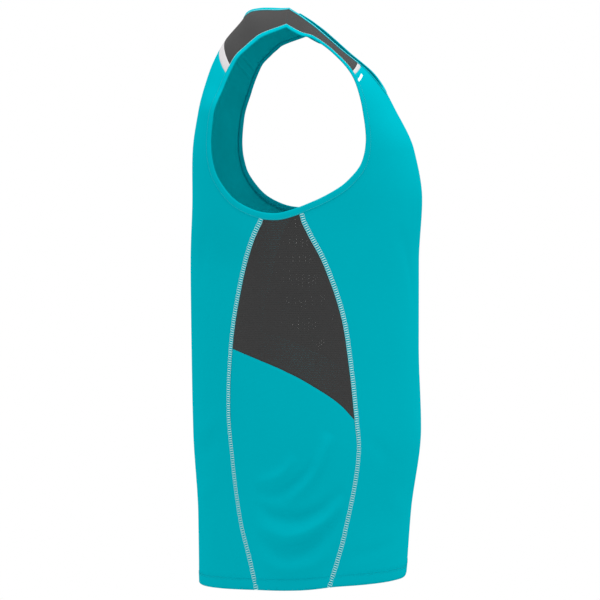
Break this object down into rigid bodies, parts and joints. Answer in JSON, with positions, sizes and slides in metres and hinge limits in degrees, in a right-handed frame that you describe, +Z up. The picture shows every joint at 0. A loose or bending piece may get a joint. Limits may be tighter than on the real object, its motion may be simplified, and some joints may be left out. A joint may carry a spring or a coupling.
{
  "type": "sleeveless running t-shirt",
  "caption": "Sleeveless running t-shirt in thin technical knit, opened by its unseen wearer, with scoop neck, bound deep armholes, dark mesh side panels and a straight hem.",
  "frame": {"origin": "midway between the two neck points, 1 mm below their tops and 4 mm above the neck edge at the centre back, on the centre line of the shirt", "axes": "+Z up, from hem to shoulders; the chest faces -Y; the wearer's right side is at -X; the shirt is symmetric about x = 0"},
  "size_m": [0.4, 0.2749, 0.6825],
  "materials": {
    "teal_knit": "smooth matte jersey, darker teal on its inner face",
    "grey_knit": "matte charcoal knit",
    "grey_mesh": "open eyelet mesh, matte",
    "silver_tape": "soft satin reflective tape",
    "teal_binding": "folded elastic binding, matte"
  },
  "bodies": {
    "root": {"front": "teal_knit", "back": "teal_knit", "back_strip": "silver_tape", "back_yoke": "grey_knit", "shoulder_right": "grey_knit", "shoulder_left": "grey_knit", "front_strip_right": "silver_tape", "front_strip_left": "silver_tape", "side_mesh_right": "grey_mesh", "side_mesh_left": "grey_mesh", "side_lower_right": "teal_knit", "side_lower_left": "teal_knit", "armhole_binding_right": "teal_binding", "armhole_binding_left": "teal_binding", "neck_binding": "teal_binding"}
  },
  "joints": []
}
